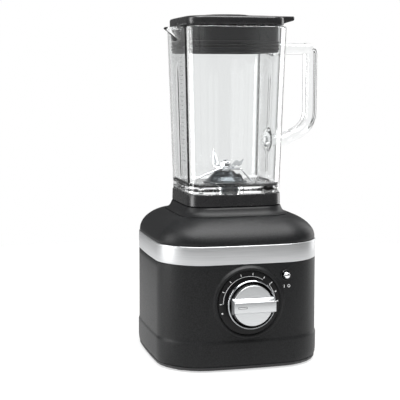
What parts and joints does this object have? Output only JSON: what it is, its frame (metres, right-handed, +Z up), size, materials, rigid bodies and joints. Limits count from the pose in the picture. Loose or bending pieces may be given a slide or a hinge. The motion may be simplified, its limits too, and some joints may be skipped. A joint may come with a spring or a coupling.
{
  "type": "countertop blender",
  "caption": "Countertop blender: black cast motor base with bright trim band and dial, square glass jar with fused handle, black lid, stamped blades on a lift-off drive.",
  "frame": {"origin": "centre of the footprint on the surface the feet stand on", "axes": "+Z up along the drive axis, -Y towards the dial at the front, +X towards the jar handle"},
  "size_m": [0.2186, 0.2357, 0.4182],
  "materials": {
    "cast_black": "textured powder coat on die-cast metal",
    "trim_metal": "fine horizontal brushing",
    "moulded_black": "moulded, fine matt",
    "tray_black": "moulded, matt",
    "foot_rubber": "moulded rubber",
    "screw_steel": "zinc plated",
    "scale_black": "satin black with pale printed marks",
    "switch_plastic": "moulded",
    "board_green": "solder mask over glass epoxy",
    "board_part": "moulded and sleeved",
    "alloy": "as cast",
    "duct_plastic": "moulded",
    "lamination": "stacked laminations",
    "enamel_copper": "enamelled copper wire",
    "brush_brass": "formed brass",
    "carbon": "pressed carbon",
    "spring_steel": "bright drawn",
    "bearing_steel": "ground",
    "grommet_rubber": "moulded rubber",
    "lead_brown": "extruded sleeve",
    "lead_red": "extruded sleeve",
    "shaft_steel": "ground",
    "commutator_copper": "turned copper",
    "fan_plastic": "moulded",
    "coupling_steel": "sintered steel",
    "dial_satin": "satin, brushed across",
    "dial_black": "polished black",
    "dial_chrome": "polished",
    "lever_chrome": "polished",
    "jar_glass": "pressed glass, fire polished",
    "collar_black": "satin moulded",
    "seal_rubber": "moulded silicone rubber",
    "carrier_metal": "dark anodised",
    "blade_steel": "stamped and ground",
    "socket_black": "moulded over a steel spline",
    "lid_black": "satin moulded"
  },
  "bodies": {
    "base": {"housing": "cast_black", "trim_band": "trim_metal", "well_insert": "moulded_black", "bottom_tray": "tray_black", "feet": "foot_rubber", "tray_screws": "screw_steel", "cord_gland": "moulded_black", "scale_plate": "scale_black", "speed_selector": "switch_plastic", "control_board": "board_green", "board_parts": "board_part", "heat_sink": "alloy", "toggle_bezel": "moulded_black", "toggle_switch": "switch_plastic", "air_duct": "duct_plastic", "upper_bracket": "alloy", "lower_bracket": "alloy", "stator_core": "lamination", "field_coils": "enamel_copper", "motor_bolts": "screw_steel", "brush_holders": "brush_brass", "carbon_brushes": "carbon", "brush_springs": "spring_steel", "upper_bearing_outer": "bearing_steel", "lower_bearing_outer": "bearing_steel", "motor_grommets": "grommet_rubber", "mount_screws": "screw_steel", "supply_leads": "lead_brown", "motor_leads": "lead_red"},
    "rotor": {"motor_shaft": "shaft_steel", "armature_core": "lamination", "armature_windings": "enamel_copper", "commutator": "commutator_copper", "cooling_fan": "fan_plastic", "drive_coupling": "coupling_steel", "bearing_inner_races": "bearing_steel"},
    "dial": {"dial_cap": "dial_satin", "dial_skirt": "dial_black", "dial_ring": "dial_chrome", "dial_shaft": "shaft_steel"},
    "toggle": {"toggle_lever": "lever_chrome"},
    "jar": {"jar_glass": "jar_glass", "jar_collar": "collar_black", "jar_gasket": "seal_rubber", "blade_carrier": "carrier_metal", "carrier_nut": "alloy", "shaft_seal": "seal_rubber", "jar_bearing_outer": "bearing_steel"},
    "blades": {"blade_shaft": "shaft_steel", "lower_blade": "blade_steel", "upper_blade": "blade_steel", "blade_nut": "blade_steel", "blade_spacer": "blade_steel", "drive_socket": "socket_black", "jar_bearing_inner": "bearing_steel"},
    "lid": {"lid_cover": "lid_black", "lid_seal": "seal_rubber"},
    "cap": {"filler_cap": "lid_black", "cap_seal": "seal_rubber"}
  },
  "joints": [
    {"name": "jar_lift", "type": "slide", "parent": "base", "child": "jar", "axis": [0, 0, 1], "range_m": [0, 0.06]},
    {"name": "lid_lift", "type": "slide", "parent": "jar", "child": "lid", "axis": [0, 0, 1], "range_m": [0, 0.05]},
    {"name": "cap_lift", "type": "slide", "parent": "lid", "child": "cap", "axis": [0, 0, 1], "range_m": [0, 0.045]},
    {"name": "dial_turn", "type": "hinge", "parent": "base", "child": "dial", "pos_m": [0, -0.11, 0.0812], "axis": [0, 1, 0], "range_deg": [-18.5, 178.5]},
    {"name": "toggle_rock", "type": "hinge", "parent": "base", "child": "toggle", "pos_m": [0.0454, -0.0933, 0.112], "axis": [0, 0, 1], "range_deg": [-6, 6], "stiffness_Nm_per_rad": 0.02},
    {"name": "rotor_spin", "type": "hinge", "parent": "base", "child": "rotor", "pos_m": [0, 0, 0.11], "axis": [0, 0, 1], "continuous": true},
    {"name": "blade_spin", "type": "hinge", "parent": "jar", "child": "blades", "pos_m": [0, 0, 0.21], "axis": [0, 0, 1], "continuous": true}
  ],
  "couplings": [
    {"joint": "blade_spin", "follows": "rotor_spin", "ratio": 1}
  ]
}
